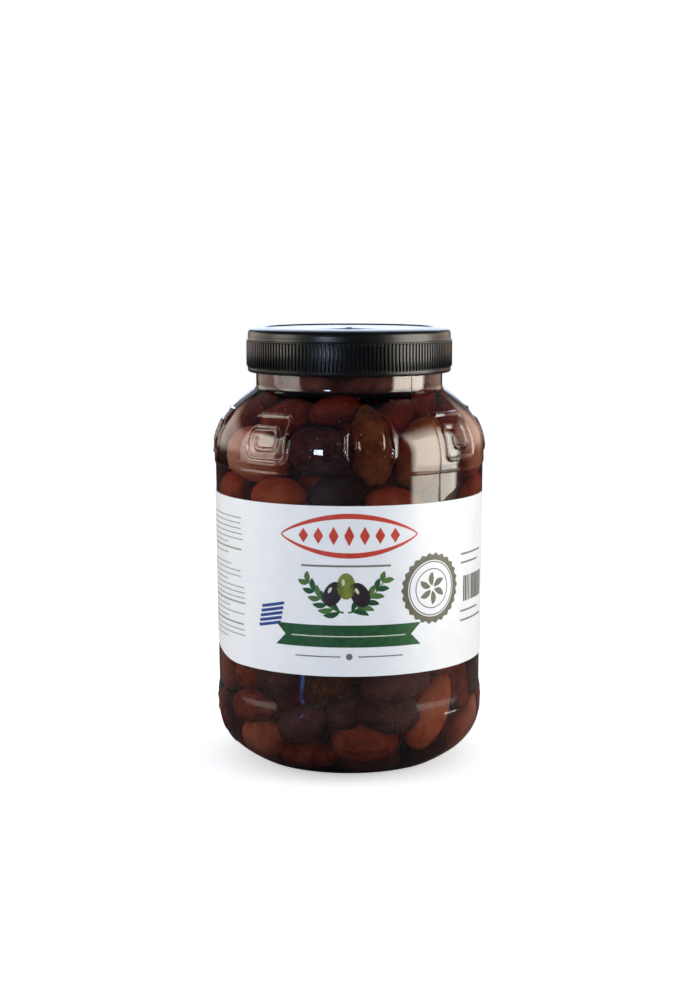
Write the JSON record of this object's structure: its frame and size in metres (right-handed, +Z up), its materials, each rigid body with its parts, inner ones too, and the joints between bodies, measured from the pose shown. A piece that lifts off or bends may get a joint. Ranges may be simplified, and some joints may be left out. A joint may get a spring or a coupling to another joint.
{
  "type": "jar of olives",
  "caption": "Shut wide-mouth clear plastic jar of dark olives in brine, with a black ribbed screw cap, key-fret ridges round shoulder and heel, and a wrap-round paper label.",
  "frame": {"origin": "centre of the ring that the jar stands on, at floor height", "axes": "+Z up along the jar's axis, the front of the label faces -Y, +X is to the right of someone who reads it"},
  "size_m": [0.1302, 0.1302, 0.207],
  "materials": {
    "jar_plastic": "clear blown polyester plastic, glossy",
    "cap_plastic": "black moulded polypropylene, semi-gloss",
    "label_paper": "coated white paper with printed fields of colour",
    "olives_in_brine": "brown-red olives in dark brine behind the wall"
  },
  "bodies": {
    "root": {"jar": "jar_plastic", "cap": "cap_plastic", "label": "label_paper", "contents": "olives_in_brine"}
  },
  "joints": []
}
